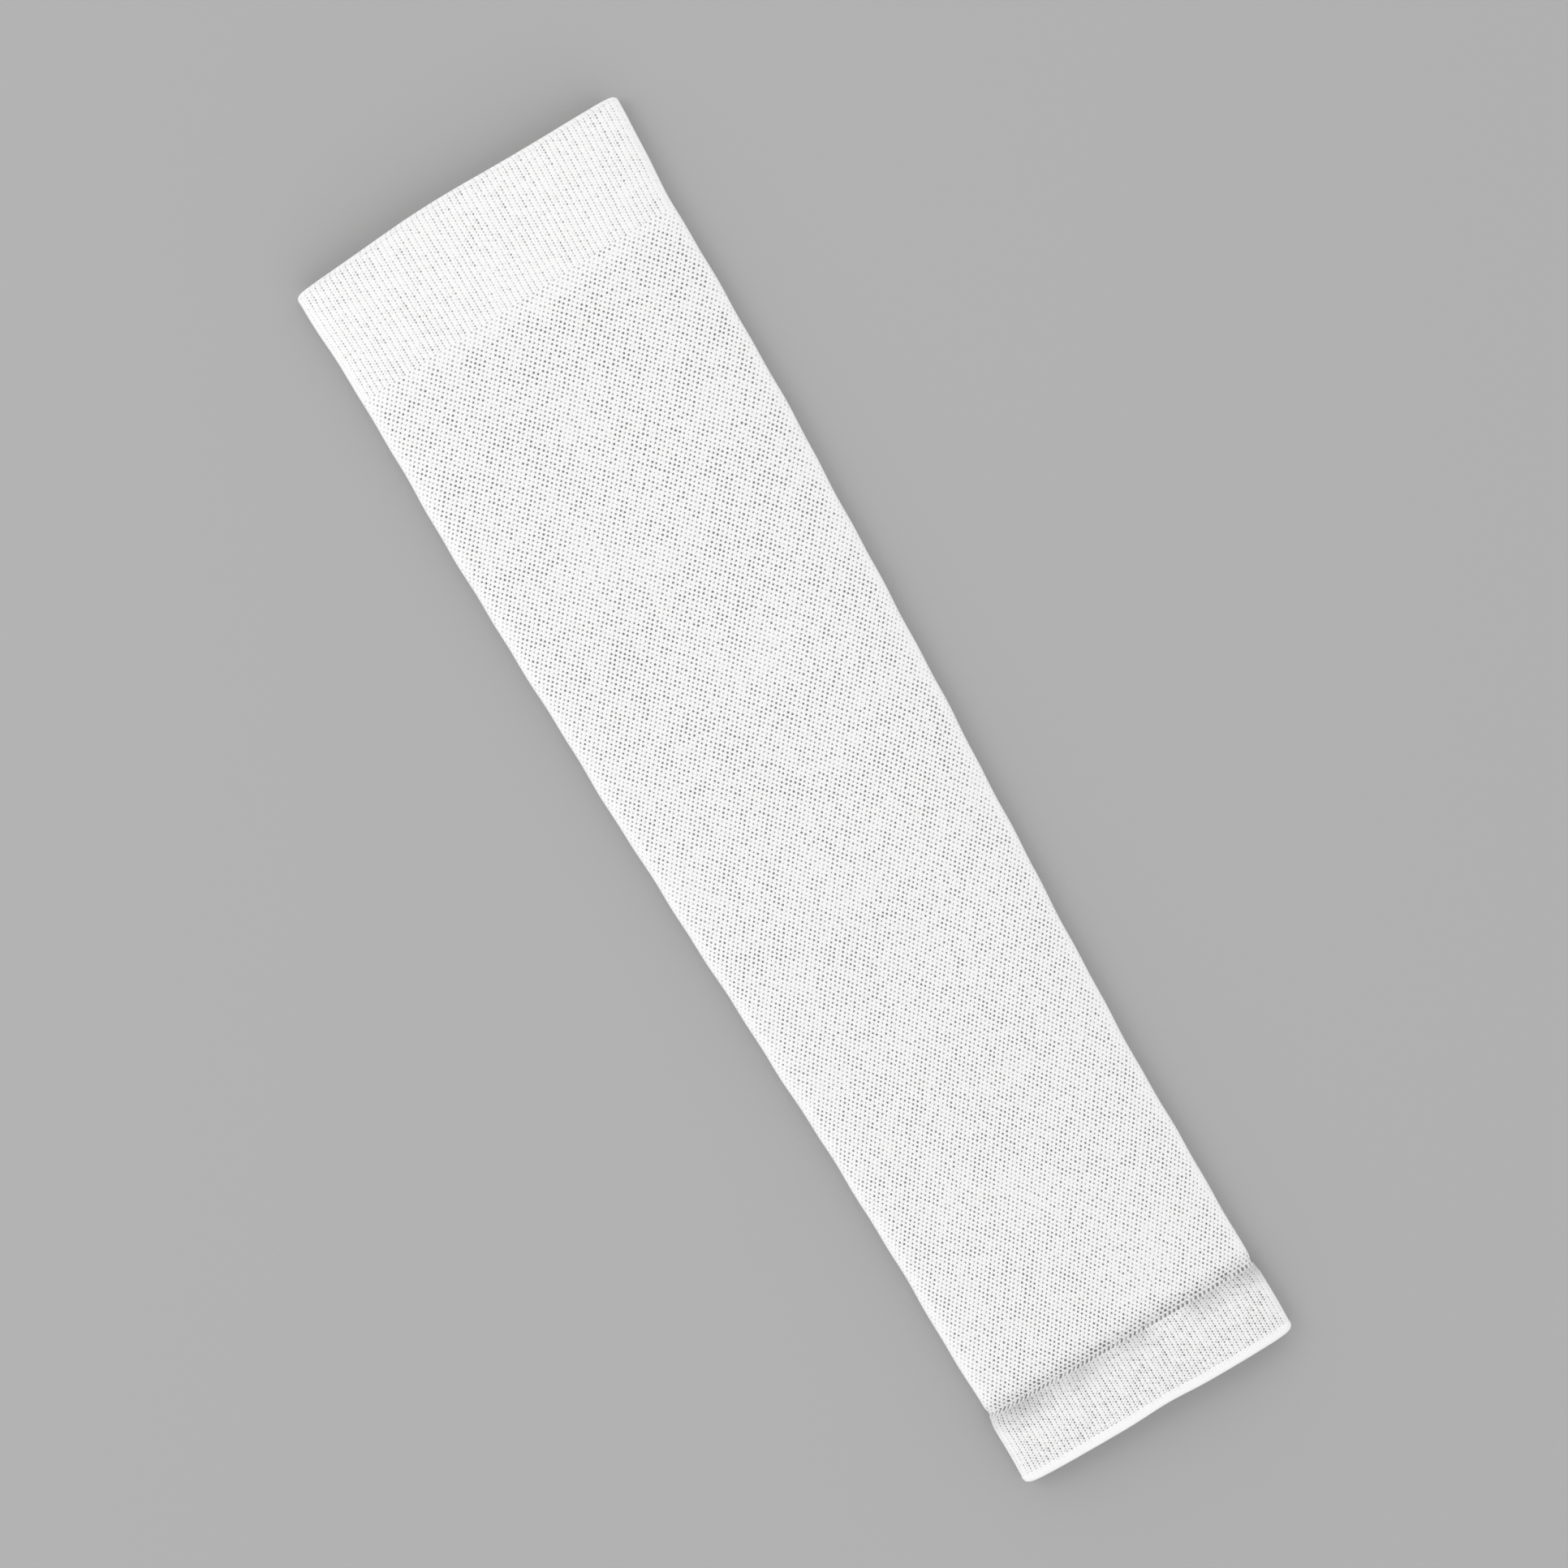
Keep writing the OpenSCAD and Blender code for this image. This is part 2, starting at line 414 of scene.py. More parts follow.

# %% [markdown]
# ## The rib knits
#
# A rib is a column of loops that faces outwards beside one that faces inwards. The inward columns
# are furrows with a dot of painted shade at each course and a faint painted shade along them, and
# half-way between lies a fainter set of painted dots. The upper cuff is light and even. The wrist
# cuff is tighter, its painted dots are darker, an even painted shade stands for its lower layer
# showing through, and its yarn looks fuzzier.

# %% Materials: the two rib knits and the lining
def rib_pattern(strength, between, under_layer_shade):
    """Painted dots of shade in columns: their strength, that of the dots between, and an even painted shade."""

    def pattern(tree, wale, course):
        tension = in_group(tree, tension_group, Wale=wale, Course=course, Broad=0.4, Columns=0.45)
        hole = in_group(
            tree, hole_group, Wale=wale, Course=course,
            Width=0.15, Height=0.3, Jitter=0.1, Unevenness=0.5,
        )
        faint = in_group(
            tree, hole_group, Wale=wale + 0.5, Course=course + 0.5,
            Width=0.12, Height=0.28, Jitter=0.2, Unevenness=0.6,
        )
        # Painted shade in the furrows and dots, and an even painted shade for the layer beneath
        furrow = (wale - wale.rounded()).size().fade(0.28, 0.0)
        dots = hole["Hole"] * (hole["Chance"] * 0.75 + 0.55) * strength
        dots = dots.most(faint["Hole"] * faint["Chance"] * between)
        shade = dots.most(furrow * (0.07 * strength)) + under_layer_shade
        return shade * tension["Openness"]

    return pattern


rib_knit = knit_material("rib knit", rib_pattern(0.65, 0.35, 0.0), 0.15 * MM)
cuff_knit = knit_material("wrist cuff knit", rib_pattern(1.0, 0.6, 0.045), 0.2 * MM)
lining_knit = knit_material("lining knit", rib_pattern(0.6, 0.4, 0.05), 0.25 * MM)
print("rib materials:", rib_knit.name, "/", cuff_knit.name, "/", lining_knit.name)

# %% [markdown]
# ## Plain knit, seam thread and elastic yarn
#
# The rolled edge and the turned welt are knitted so tightly that they show almost no holes, only
# a few flecks. The seam thread is the same with shade painted into its gaps, which the mesh's "grey"
# gives. The elastic yarn is a rubber core that is wound with thread, so it is creamier, and fine
# slanted lines of painted shade between its turns show the winding.

# %% Materials: plain knit, seam thread, elastic yarn
YARN_CREAM = (0.80, 0.775, 0.70, 1.0)


def gap_shade_pattern(tree, wale, course):
    """Painted shade wherever the mesh says that there is a gap between two stitches."""
    return mesh_value(tree, "grey").fade(0.3, 1.0)


def winding_shade_pattern(tree, wale, course):
    # Painted shade between the turns of the winding
    turn = wale * 9.0 + course
    return (turn - turn.rounded()).size().fade(0.25, 0.5) * 0.35


plain_knit = knit_material("plain knit", rib_pattern(0.5, 0.4, 0.0), 0.15 * MM)
seam_thread = knit_material("seam thread", gap_shade_pattern, 0.2 * MM)
elastic_yarn = knit_material("elastic yarn", winding_shade_pattern, 0.1 * MM, YARN_CREAM, 0.7)
print("plain materials:", plain_knit.name, "/", seam_thread.name, "/", elastic_yarn.name)

# %% [markdown]
# ## The outline, read from the frame
#
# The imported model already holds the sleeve's outline: the widest point of each of its rings. Reading
# it from there means that this script and the construction can never disagree. Along the sleeve,
# everything is placed by s, the distance from the upper edge towards the wrist, because that is how
# a knitter would count it.

# %% Half the flat width at any distance along the sleeve
UPPER_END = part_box("upper_edge")[1].y
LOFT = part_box("upper_arm_tube")[1].z
OUTER_NODES = ("upper_edge", "upper_cuff", "upper_arm_tube", "forearm_tube", "wrist_cuff", "wrist_welt")


def points_of(node):
    """A node's points as an array of x, y, z."""
    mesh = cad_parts[node].data
    found = np.empty(len(mesh.vertices) * 3, np.float32)
    mesh.vertices.foreach_get("co", found)
    return found.reshape(-1, 3).astype(float)


def outline():
    """Distances along the sleeve, and half its width at each."""
    cloud = np.vstack([points_of(node) for node in OUTER_NODES])
    places = np.round(UPPER_END - cloud[:, 1], 5)
    stations = np.unique(places)
    return stations, np.array([cloud[places == s, 0].max() for s in stations])


def span(node):
    """Where a node starts and ends along the sleeve."""
    low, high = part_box(node)
    return UPPER_END - high.y, UPPER_END - low.y


STATIONS, HALVES = outline()
SLEEVE_END = span("wrist_welt")[1]


def half_width(s):
    return np.interp(s, STATIONS, HALVES)


print("rings:", len(STATIONS), "half widths in mm:", np.round(HALVES[[0, -1]] / MM, 1))

# %% [markdown]
# ## Round the flattened tube
#
# The cloth doesn't lie perfectly flat. Below it is flat on the table, a round fold runs along each
# side, and the top is a low arch. A section is a curve of points, and the knit's columns have to be
# spaced evenly along it, as the needles were. So the curve is drawn with many points first, its
# length is added up, and the columns are then placed at equal steps of that length. It starts at
# the middle of the underside, where nobody looks, so that the join of the pattern is hidden there.

# %% Evenly spaced points round the section
SIDE_FOLD = 3 * MM
ARCH_POWER = 3.0
ARCH_POINTS = 500
FOLD_POINTS = 40


def section_curve(half, inset):
    """x and z of the section, from the underside's middle over the left side, top and right side."""
    radius = SIDE_FOLD - inset
    corner = half - SIDE_FOLD
    turn = np.linspace(1.5 * math.pi, math.pi, FOLD_POINTS)
    # Angles that crowd at both ends, where the arch is steep
    sweep = 0.5 * math.pi * (1 + np.cos(np.linspace(0, math.pi, ARCH_POINTS)))
    arch_x = (half - inset) * np.sign(np.cos(sweep)) * np.abs(np.cos(sweep)) ** (2 / ARCH_POWER)
    arch_z = SIDE_FOLD + (LOFT - inset - SIDE_FOLD) * np.abs(np.sin(sweep)) ** (2 / ARCH_POWER)
    fold_x = -corner + radius * np.cos(turn)
    fold_z = SIDE_FOLD + radius * np.sin(turn)
    x = np.concatenate([[0], fold_x, arch_x[1:-1], -fold_x[::-1], [0]])
    z = np.concatenate([[inset], fold_z, arch_z[1:-1], fold_z[::-1], [inset]])
    return x, z


def ring(s, inset, columns):
    """Points x, z and outward directions at equal steps round the sleeve at s."""
    x, z = section_curve(half_width(s), inset)
    length = np.concatenate([[0], np.cumsum(np.hypot(np.diff(x), np.diff(z)))])
    steps = np.linspace(0, length[-1], columns, endpoint=False)
    near = 0.2 * MM
    ahead, behind = (steps + near) % length[-1], (steps - near) % length[-1]
    tangent_x = np.interp(ahead, length, x) - np.interp(behind, length, x)
    tangent_z = np.interp(ahead, length, z) - np.interp(behind, length, z)
    size = np.hypot(tangent_x, tangent_z)
    out = np.stack([-tangent_z / size, tangent_x / size], axis=1)
    return np.stack([np.interp(steps, length, x), np.interp(steps, length, z)], axis=1), out, length[-1]


girth = ring(span("upper_arm_tube")[0], 0, WALES)[2]
print("girth below the cuff in mm:", round(girth / MM, 1), "wale pitch:", round(girth / MM / WALES, 3))

# %% [markdown]
# ## How it happens to lie
#
# Nobody lays a sleeve down with a ruler. Its upper end lies slightly askew and bows out in the
# middle, its sides wander by a fraction of a millimetre, and the top is faintly uneven. All pieces
# go through the same function, so that neighbours stay joined.

# %% Small shifts that make the cloth lie naturally
SKEW = 0.0365
SKEW_FADES = (60 * MM, 230 * MM)
BOW_DEPTH = 30 * MM


def smooth(t):
    t = np.clip(t, 0, 1)
    return t * t * (3 - 2 * t)


def hump(distance, width):
    return np.exp(-((distance / width) ** 2))


def lie_naturally(points, s):
    """Moves points (rows, columns, x y z) to where the soft cloth really lies; s is per point."""
    x, y, z = points[..., 0], points[..., 1], points[..., 2]
    skewed = SKEW * x * (1 - smooth((s - SKEW_FADES[0]) / (SKEW_FADES[1] - SKEW_FADES[0])))
    bow = (0.9 * MM + 1.3 * MM * hump(x + 9 * MM, 25 * MM)) * (1 - smooth(s / BOW_DEPTH))
    to_wrist = SLEEVE_END - s
    welt = (0.5 * MM - 0.55 * MM * hump(x - 2.5 * MM, 9 * MM)) * (1 - smooth(to_wrist / (14 * MM)))
    drift = 0.4 * MM * np.cos(2 * math.pi * (s - 30 * MM) / (480 * MM))
    narrow = -0.45 * MM * hump(s - 138 * MM, 32 * MM)
    wide = 0.45 * MM * smooth((s - 180 * MM) / (90 * MM)) * smooth((385 * MM - s) / (45 * MM))
    edge_wave = 0.10 * MM * np.sin(s / (7.3 * MM)) + 0.08 * MM * np.sin(s / (3.1 * MM) + 1)
    wave = np.sin(x / (13 * MM) + s / (21 * MM)) * np.sin(s / (17 * MM) - x / (29 * MM))
    share = x / half_width(s)
    moved = points.copy()
    moved[..., 0] = x + drift + (narrow + wide + edge_wave * np.sign(x)) * share * np.abs(share)
    moved[..., 1] = y + skewed + bow - welt
    moved[..., 2] = z - 0.18 * MM * (1 + wave) * (z / LOFT) ** 2
    return moved


print("skew across the upper end in mm:", round(2 * SKEW * half_width(0) / MM, 1))

# %% [markdown]
# ## From a grid of points to a mesh
#
# A wall of cloth is a fine grid outside, a coarser grid inside, and a rim at each end that closes
# the two. One coarse step inside faces several fine steps outside, so each rim face is one polygon
# with several corners on its outer side. The mesh carries two maps. "Knit" counts wales and courses
# for the materials. "OFBake" lays every face out once, without overlap, so that the finish can be
# stored as a picture when the model leaves Blender.

# %% Mesh of a wall of cloth
OUTER_SHARE = 0.8
INNER_FROM = 0.84
RIM_HEIGHT = 0.008


def wall_faces(rows, columns, inner_rows, step):
    """Corner lists and their map places for an outer and an inner grid and two rims."""
    inner_columns = columns // step
    outer_id = np.arange(rows * columns).reshape(rows, columns)
    inner_id = rows * columns + np.arange(inner_rows * inner_columns).reshape(inner_rows, inner_columns)

    def quads(ids, inside):
        i, j = np.meshgrid(np.arange(ids.shape[0] - 1), np.arange(ids.shape[1]), indexing="ij")
        i, j = i.ravel(), j.ravel()
        order = [(0, 0), (0, 1), (1, 1), (1, 0)] if inside else [(0, 0), (1, 0), (1, 1), (0, 1)]
        corner = np.stack([ids[i + a, (j + b) % ids.shape[1]] for a, b in order], axis=1)
        row = np.stack([i + a for a, b in order], axis=1)
        column = np.stack([j + b for a, b in order], axis=1)
        return corner, row, column

    def rim(outer_row, inner_row, facing_up):
        fine = [(outer_row[(j * step + k) % columns], j * step + k, 0)
                for j in range(inner_columns) for k in range(step + 1)]
        fine = np.array(fine).reshape(inner_columns, step + 1, 3)
        j = np.arange(inner_columns)
        near = np.stack([inner_row[j], j * step, np.ones_like(j)], axis=1)[:, None]
        far = np.stack([inner_row[(j + 1) % inner_columns], (j + 1) * step, np.ones_like(j)], axis=1)[:, None]
        loop = np.concatenate([fine, far, near], axis=1)
        return loop if facing_up else loop[:, ::-1]

    return (
        quads(outer_id, False), quads(inner_id, True),
        rim(outer_id[0], inner_id[0], True), rim(outer_id[-1], inner_id[-1], False),
    )


def mesh_from(name, points, corners, knit, bake, values):
    """A smooth-shaded mesh from points and lists of corners, with two UV maps and point values."""
    mesh = bpy.data.meshes.new(name)
    sizes = np.concatenate([np.full(len(block), block.shape[1]) for block in corners])
    flat = np.concatenate([block.ravel() for block in corners])
    mesh.vertices.add(len(points))
    mesh.vertices.foreach_set("co", points.astype(np.float32).ravel())
    mesh.loops.add(len(flat))
    mesh.loops.foreach_set("vertex_index", flat.astype(np.int32))
    mesh.polygons.add(len(sizes))
    mesh.polygons.foreach_set("loop_start", (np.cumsum(sizes) - sizes).astype(np.int32))
    mesh.polygons.foreach_set("use_smooth", np.ones(len(sizes), bool))
    mesh.update(calc_edges=True)
    for label, places in (("Knit", knit), ("OFBake", bake)):
        layer = mesh.uv_layers.new(name=label)
        layer.uv.foreach_set("vector", places.astype(np.float32).ravel())
    for label, amounts in values.items():
        layer = mesh.attributes.new(label, "FLOAT", "POINT")
        layer.data.foreach_set("value", amounts.astype(np.float32).ravel())
    mesh.validate()
    piece = bpy.data.objects.new(name, mesh)
    bpy.context.scene.collection.objects.link(piece)
    return piece


def sharpen_rims(mesh, outer_rows):
    """Keeps the shading of the outside apart from that of the rims."""
    ends = np.empty(len(mesh.edges) * 2, np.int32)
    mesh.edges.foreach_get("vertices", ends)
    ends = ends.reshape(-1, 2)
    sharp = np.zeros(len(ends), bool)
    for row in outer_rows:
        sharp |= np.isin(ends, row).all(axis=1)
    layer = mesh.attributes.new("sharp_edge", "BOOLEAN", "EDGE")
    layer.data.foreach_set("value", sharp)


def side_openness(edge):
    """The holes close a little where the cloth turns over; edge is the distance from the side."""
    return 0.35 + 0.65 * smooth((edge - 0.8 * MM) / (3.0 * MM))


def fully_open(x, s):
    return 1.0


def cloth_wall(
    name, s_rows, courses, per_wale, inset, thickness, relief, grey, inner_step=15, opening=fully_open
):
    """A tube of knit. relief(wale, course, s, open) is how far the surface stands out."""
    columns = WALES * per_wale
    step = 2 * per_wale
    wales = np.arange(columns) / per_wale
    inner_s = np.unique(np.append(s_rows[::inner_step], s_rows[-1]))

    def grid(places, inner):
        """Points of one side of the cloth, with how open its holes are and how grey it is."""
        count = columns // step if inner else columns
        here = wales[::step] if inner else wales
        rows, open_rows, grey_rows = [], [], []
        for k, s in enumerate(places):
            at = float(inset(s)) + (thickness if inner else 0)
            points, out, _ = ring(s, at, count)
            edge = half_width(s) - np.abs(points[:, 0])
            hole_open = side_openness(edge) * opening(points[:, 0], s)
            if not inner:
                points = points + out * relief(here, courses[k], s, hole_open)[:, None]
            y = np.full(count, UPPER_END - s)
            rows.append(np.stack([points[:, 0], y, points[:, 1]], axis=1))
            open_rows.append(hole_open)
            grey_rows.append(grey(points[:, 0], s) * np.ones(count))
        spot = np.broadcast_to(np.asarray(places)[:, None], (len(places), count))
        return lie_naturally(np.array(rows), spot), np.array(open_rows), np.array(grey_rows)

    outer, outer_open, outer_grey = grid(s_rows, False)
    inner, inner_open, inner_grey = grid(inner_s, True)
    inner_courses = np.interp(inner_s, s_rows, courses)
    outside, inside, first_rim, last_rim = wall_faces(len(s_rows), columns, len(inner_s), step)

    def maps(corner, row, column, row_courses, per, low, high):
        knit = np.stack([column / per, row_courses[row]], axis=-1)
        share = row / (len(row_courses) - 1)
        bake = np.stack([column * (1.0 / (WALES * per)), low + (high - low) * share], axis=-1)
        return knit.reshape(-1, 2), bake.reshape(-1, 2)

    def rim_maps(loop, course, low):
        knit = np.stack([loop[..., 1] / per_wale, np.full(loop.shape[:2], course)], axis=-1)
        bake = np.stack([loop[..., 1] / columns, low + RIM_HEIGHT * loop[..., 2]], axis=-1)
        return knit.reshape(-1, 2), bake.reshape(-1, 2)

    placed = [
        maps(*outside, courses, per_wale, 0.0, OUTER_SHARE),
        maps(*inside, inner_courses, per_wale / step, INNER_FROM, 1.0),
        rim_maps(first_rim, courses[0], OUTER_SHARE + RIM_HEIGHT),
        rim_maps(last_rim, courses[-1], OUTER_SHARE + 3 * RIM_HEIGHT),
    ]
    piece = mesh_from(
        name,
        np.vstack([outer.reshape(-1, 3), inner.reshape(-1, 3)]),
        [outside[0], inside[0], first_rim[..., 0], last_rim[..., 0]],
        np.vstack([knit for knit, _ in placed]),
        np.vstack([bake for _, bake in placed]),
        {
            "openness": np.concatenate([outer_open.ravel(), inner_open.ravel()]),
            "grey": np.concatenate([outer_grey.ravel(), inner_grey.ravel()]),
        },
    )
    last = (len(s_rows) - 1) * columns
    sharpen_rims(piece.data, [np.arange(columns), np.arange(last, last + columns)])
    return piece


def finish_piece(piece, material, slot, *nodes):
    """Gives a piece its finish, and hides the nodes that it stands for."""
    piece.data.materials.append(material)
    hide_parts(*nodes)
    faces = sum(len(face.vertices) - 2 for face in piece.data.polygons)
    print(piece.name, "has", faces, "triangles")
    return piece


# %% [markdown]
# ## The body: two lengths of mesh knit
#
# The real body is one tube. The construction splits it at the elbow, so that it can bend, and the
# two halves here meet row to row at that line. Each hole is pressed into the surface as a dimple, and
# the cloth between stands a little proud, so that the relief is there in the shape and not only in the
# finish. Four columns of points and one row to a dimple are just enough for that.

# %% The upper arm's and the forearm's mesh tube
DIMPLE = 0.20 * MM
SWELL = 0.05 * MM
CREASE_START = span("linking_seam")[0]
MESH_START = span("upper_arm_tube")[0]
ELBOW = (span("upper_arm_tube")[1] + span("forearm_tube")[0]) / 2
MESH_CLOTH = 0.9 * MM


def dimples(wale, course, s, opened):
    wave = np.cos(2 * math.pi * wale) * math.cos(math.pi * course)
    return (-DIMPLE * np.maximum(wave, 0) + SWELL * np.maximum(-wave, 0)) * opened


def dive(s):
    """The body dips into the crease at its wrist end."""
    return 0.45 * MM * smooth((s - CREASE_START + 2.4 * MM) / (2.4 * MM))


# Painted shade on the body towards the crease, where it dives in
def crease_shade(x, s):
    return 0.3 * smooth((s - CREASE_START + 5 * MM) / (5 * MM))


def mesh_opening(x, s):
    """Below the cuff the holes come in little by little, and just above the crease they gape."""
    late = 1.5 * MM * np.sin(x / (5.3 * MM)) * np.sin(x / (12 * MM) + 1) + 0.8 * MM * np.sin(x / (2.1 * MM))
    first_row = 0.3 * hump(s - MESH_START - late, 1.3 * MM)
    gaping = 0.5 * smooth((s - CREASE_START + 9 * MM) / (9 * MM))
    return 0.5 + 0.5 * smooth((s - MESH_START - late) / (7 * MM)) + first_row + gaping


def mesh_tube(name, start, end, first_course):
    """A length of the body, with a whole number of rows."""
    rows = round((end - start) / (ROW_PITCH * MM))
    s_rows = np.linspace(start, end, rows + 1)
    courses = first_course + np.arange(rows + 1)
    tube = cloth_wall(
        name, s_rows, courses, 4, dive, MESH_CLOTH, dimples, crease_shade, opening=mesh_opening
    )
    return tube, courses[-1]


def elbow_bend(piece):
    """Bakes the piece's placement into its mesh; it is not bent."""
    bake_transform(piece)


upper_arm_knit, elbow_course = mesh_tube("upper_arm_knit", span("upper_arm_tube")[0], ELBOW, 0)
forearm_knit, _ = mesh_tube("forearm_knit", ELBOW, CREASE_START - 0.1 * MM, elbow_course)
for tube, node in ((upper_arm_knit, "upper_arm_tube"), (forearm_knit, "forearm_tube")):
    finish_piece(tube, mesh_knit, "mesh_knit", node)
    low, high = span(node)
    ring((low + high) / 2, 0, WALES)[2]
    elbow_bend(tube)

# %% [markdown]
# ## The upper cuff
#
# Its ribs stand up as rounded columns with furrows between. Along each furrow the loops pull the
# cloth down once per course. The cuff can be folded back over the arm; here it is left lying flat.

# %% The upper cuff's rib knit
COURSE_PITCH = 0.89
RIB_CLOTH = 1.1 * MM
FURROW = 0.13 * MM


def ribs(wale, course, s, opened):
    furrow = (0.5 + 0.5 * np.cos(2 * math.pi * wale)) ** 2
    pull = 0.75 + 0.25 * math.cos(2 * math.pi * course)
    return -FURROW * furrow * pull * (0.3 + 0.7 * opened)


def no_inset(s):
    return 0.0


def no_grey(x, s):
    return 0.0


def rib_rows(start, end, pitch):
    """Two rows of points to each course, and the course number of each."""
    count = 2 * round((end - start) / (pitch * MM))
    return np.linspace(start, end, count + 1), np.arange(count + 1) / 2


def fold_over(piece):
    """Bakes the piece's placement into its mesh; it is not folded."""
    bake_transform(piece)


upper_start, upper_end = span("upper_cuff")
s_rows, courses = rib_rows(upper_start, span("upper_arm_tube")[0], COURSE_PITCH)
upper_cuff_knit = cloth_wall("upper_cuff_knit", s_rows, courses, 6, no_inset, RIB_CLOTH, ribs, no_grey, 6)
finish_piece(upper_cuff_knit, rib_knit, "rib_knit", "upper_cuff")
upper_girth = ring((upper_start + upper_end) / 2, 0, WALES)[2]
fold_over(upper_cuff_knit)

# %% [markdown]
# ## The wrist cuff and its lining
#
# The wrist cuff is a strip of rib that is folded in two: one layer outside, one inside, with the
# elastic between them. It starts deep in the crease and rises out of it within a few millimetres,
# and there the cloth is drawn in and shade is painted on it, more in some places than in others.

# %% The wrist cuff's two layers
WRIST_PITCH = 0.86
CUFF_LAYER = 0.75 * MM
CUFF_START, CUFF_END = span("wrist_cuff")


def rise(s):
    """The cuff climbs out of the crease."""
    return 0.5 * MM * (1 - smooth((s - CUFF_START) / (3.5 * MM)))


def root_shade(x, s):
    """Painted shade at the root of the cuff, in uneven patches across it."""
    patches = 0.5 + 0.25 * np.sin(x / (8 * MM) - 0.6) * np.sin(x / (5 * MM) + 2.2) - 0.4 * hump(
        x - 15 * MM, 7 * MM
    )
    reach = (5.5 + 4 * patches) * MM
    return np.clip(patches, 0, 1) * (1 - smooth((s - CUFF_START) / reach))


s_rows, courses = rib_rows(CUFF_START - 0.1 * MM, CUFF_END, WRIST_PITCH)
wrist_cuff_knit = cloth_wall("wrist_cuff_knit", s_rows, courses, 6, rise, CUFF_LAYER, ribs, root_shade, 6)
finish_piece(wrist_cuff_knit, cuff_knit, "cuff_knit", "wrist_cuff")

LINING_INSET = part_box("wrist_cuff_lining")[0].z


def lining_inset(s):
    return LINING_INSET


def shallow_ribs(wale, course, s, opened):
    return 0.35 * ribs(wale, course, s, opened)


lining = cloth_wall(
    "wrist_cuff_lining_knit", s_rows, courses, 4, lining_inset, CUFF_LAYER, shallow_ribs, no_grey, 6
)
finish_piece(lining, lining_knit, "lining_knit", "wrist_cuff_lining")
wrist_girth = ring((CUFF_START + CUFF_END) / 2, 0, WALES)[2]
for layer in (wrist_cuff_knit, lining):
    fold_over(layer)

# %% [markdown]
# ## Bands that run round the sleeve
#
# The rolled edge, the welt, the linking seam and the elastic yarns are all bands: a small closed
# outline that is carried once round the section. The outline is a list of places (s, inset). Two
# loops of quads, round the outline and round the sleeve, close the band in both directions.

# %% Mesh of a closed band
def band_mesh(name, profiles, columns, relief, grey, opening=fully_open):
    """Closed bands in one mesh. Each profile is a list of (s, inset) that runs round its outline."""
    points, corners, knit, bake, opened, greys = [], [], [], [], [], []
    first = 0
    for number, profile in enumerate(profiles):
        rows = len(profile)
        wales = np.arange(columns) * (WALES / columns)
        for k, (s, inset) in enumerate(profile):
            place, out, _ = ring(s, inset, columns)
            place = place + out * relief(wales, s, k / rows)[:, None]
            y = np.full(columns, UPPER_END - s)
            line = np.stack([place[:, 0], y, place[:, 1]], axis=1)
            points.append(lie_naturally(line, np.full(columns, s)))
            edge = half_width(s) - np.abs(place[:, 0])
            opened.append(side_openness(edge) * opening(place[:, 0], s))
            greys.append(grey(wales, s, k / rows) * np.ones(columns))
        i, j = (part.ravel() for part in np.meshgrid(np.arange(rows), np.arange(columns), indexing="ij"))
        order = [(0, 0), (0, 1), (1, 1), (1, 0)]
        corners.append(np.stack([first + (i + a) % rows * columns + (j + b) % columns for a, b in order], axis=1))
        row = np.stack([i + a for a, b in order], axis=1)
        column = np.stack([j + b for a, b in order], axis=1)
        knit.append(np.stack([column * (WALES / columns), row * 0.5 + number * rows], axis=-1).reshape(-1, 2))
        share = (number + 0.96 * row / rows + 0.02) / len(profiles)
        bake.append(np.stack([column / columns, share], axis=-1).reshape(-1, 2))
        first += rows * columns
    return mesh_from(
        name, np.vstack(points), corners, np.vstack(knit), np.vstack(bake),
        {"openness": np.concatenate(opened), "grey": np.concatenate(greys)},
    )


def nose_profile(edge, root, wall, side, bulge):
    """A band with a round nose at its edge: out along the inside, round the nose and back outside."""
    radius = wall / 2
    straight = np.linspace(0, 1, 6)
    turn = np.linspace(-math.pi / 2, math.pi / 2, 11)
    shoulder = edge - side * radius
    inside = [(root + (shoulder - root) * t, wall) for t in straight[:-1]]
    nose = [(shoulder + side * radius * math.cos(a), radius - radius * math.sin(a)) for a in turn]
    outside = [
        (shoulder + (root - shoulder) * t, -bulge * math.sin(math.pi * t) ** 0.8) for t in straight[1:]
    ]
    profile = inside + nose + outside
    return profile if side < 0 else profile[::-1]


print("bands can be made")

# %% [markdown]
# ## The rolled edge and the welt
#
# The upper end is finished with a thin rolled edge, and the wrist end with a wider turned welt. Both
# are plain and dense, and the ribs behind them draw them in very slightly, once per wale.

# %% The upper edge and the wrist welt
def drawn_in(wales, s, turn):
    return -0.04 * MM * (1 + np.cos(2 * math.pi * wales)) * 0.5


def band_white(wales, s, turn):
    return 0.0


def welt_opening(x, s):
    """The cuff's dots run out on the welt's first millimetre."""
    return 0.08 + 0.8 * smooth((CUFF_END + 1.2 * MM - s) / (1.2 * MM))


edge_profile = nose_profile(0.0, span("upper_cuff")[0], RIB_CLOTH, -1.0, 0.10 * MM)
upper_edge = band_mesh("upper_edge_roll", [edge_profile], 3 * WALES, drawn_in, band_white)
finish_piece(upper_edge, plain_knit, "plain_knit", "upper_edge")
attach(upper_edge, "upper_cuff")

CUFF_WALL = 2 * CUFF_LAYER + (LINING_INSET - CUFF_LAYER)
welt_profile = nose_profile(SLEEVE_END, CUFF_END, CUFF_WALL, 1.0, 0.12 * MM)
wrist_welt = band_mesh("wrist_welt_turned", [welt_profile], 3 * WALES, drawn_in, band_white, welt_opening)
finish_piece(wrist_welt, plain_knit, "plain_knit", "wrist_welt")
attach(wrist_welt, "wrist_cuff")
